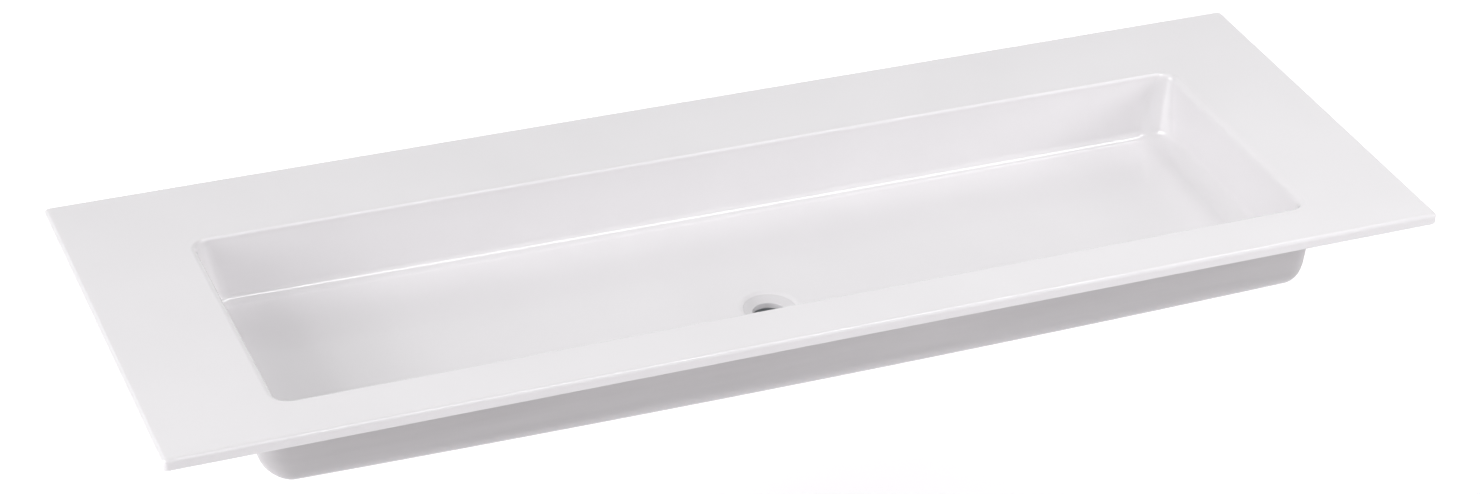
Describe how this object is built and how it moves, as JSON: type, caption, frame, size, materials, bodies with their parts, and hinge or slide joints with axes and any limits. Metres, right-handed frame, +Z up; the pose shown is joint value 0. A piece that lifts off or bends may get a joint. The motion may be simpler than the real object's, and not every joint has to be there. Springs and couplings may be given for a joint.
{
  "type": "washbasin",
  "caption": "Wide furniture washbasin in glazed ceramic: flat deck, long rectangular bowl, open waste with lift-out strainer and wall studs.",
  "frame": {"origin": "midway along the deck, where the wall plane meets the cabinet's top plane", "axes": "+X to the right as seen from the front, along the length; +Y into the wall; +Z up"},
  "size_m": [1.4, 0.544, 0.1505],
  "materials": {
    "glazed_china": "gloss white glaze",
    "white_cap": "gloss white",
    "chromed_brass": "chrome plate on turned brass",
    "strainer_steel": "pressed stainless steel",
    "brass_nut": "bare brass, machined",
    "seal_rubber": "matt black EPDM",
    "white_nylon": "moulded natural nylon",
    "zinc_plated_steel": "bright zinc plate"
  },
  "bodies": {
    "basin_set": {"basin": "glazed_china", "waste_cap": "white_cap", "waste_body": "chromed_brass", "flange_seal": "seal_rubber", "cone_seal": "seal_rubber", "slip_washer": "white_nylon", "back_nut": "brass_nut", "fixing_studs": "zinc_plated_steel", "fixing_bushes": "white_nylon", "fixing_washers": "zinc_plated_steel", "fixing_nuts": "zinc_plated_steel"},
    "strainer_part": {"strainer": "strainer_steel"}
  },
  "joints": [
    {"name": "strainer_lift", "type": "slide", "parent": "basin_set", "child": "strainer_part", "axis": [0, 0, 1], "range_m": [0, 0.06]}
  ]
}
